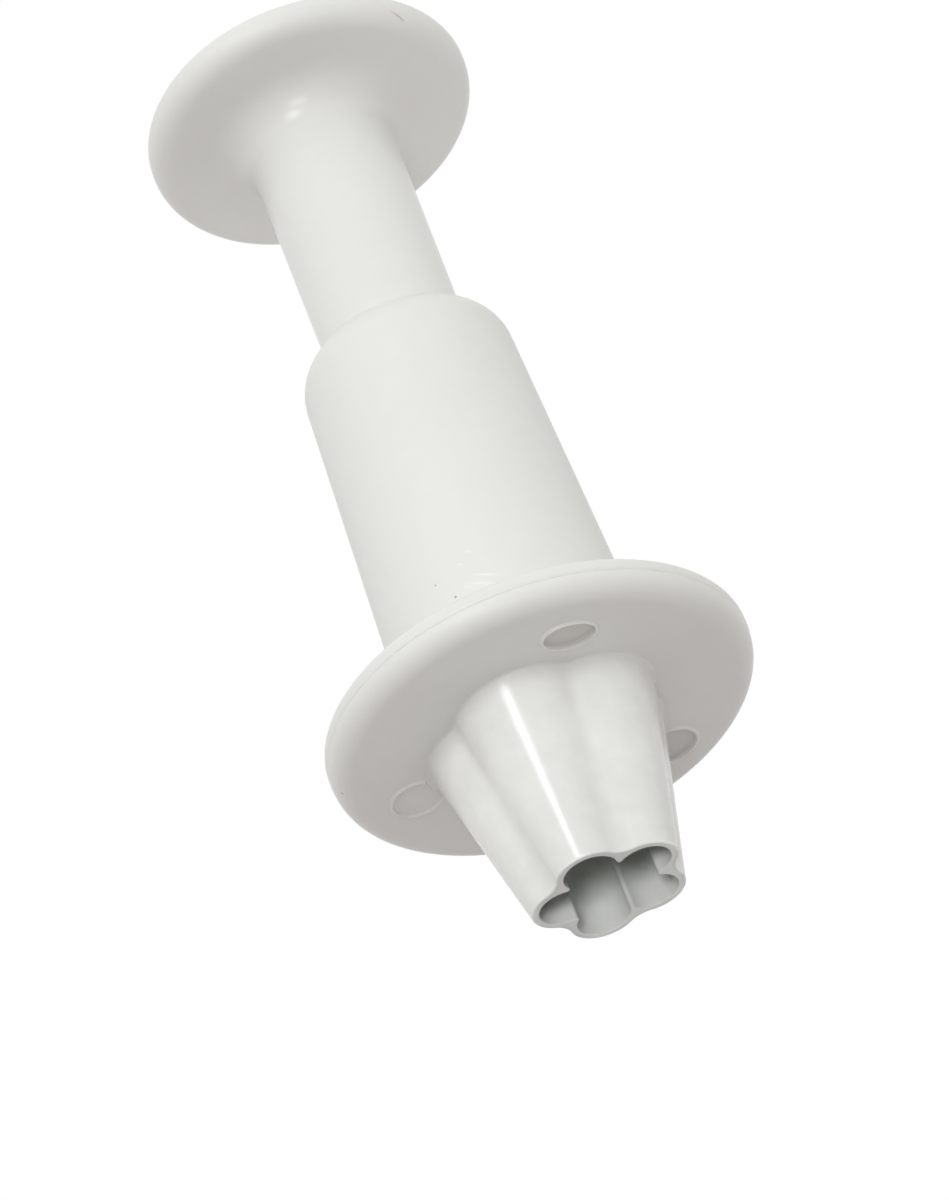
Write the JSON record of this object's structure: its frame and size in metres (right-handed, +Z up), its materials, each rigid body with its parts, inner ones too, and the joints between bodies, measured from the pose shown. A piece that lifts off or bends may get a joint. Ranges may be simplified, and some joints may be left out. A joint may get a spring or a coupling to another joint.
{
  "type": "plunger cutter",
  "caption": "Spring plunger cutter for sugar flowers: petal-shaped cutting nose on a flanged barrel, with a knob that drives an ejector foot.",
  "frame": {"origin": "centre of the cutting edge's plane, on the plunger's axis; the part stands on its cutting edge", "axes": "+Z up the plunger to the knob; one petal points to -Y"},
  "size_m": [0.03, 0.03, 0.072],
  "materials": {
    "body_plastic": "satin off-white, glossier on the nose",
    "knob_plastic": "satin off-white",
    "ejector_plastic": "satin off-white",
    "spring_steel": "drawn stainless wire"
  },
  "bodies": {
    "barrel": {"cutter_body": "body_plastic", "return_spring": "spring_steel"},
    "plunger": {"plunger_knob": "knob_plastic", "ejector": "ejector_plastic"}
  },
  "joints": [
    {"name": "plunger_slide", "type": "slide", "parent": "barrel", "child": "plunger", "axis": [0, 0, -1], "range_m": [0, 0.012], "stiffness_N_per_m": 320, "springref_m": -0.006, "deforming": ["return_spring"]}
  ]
}
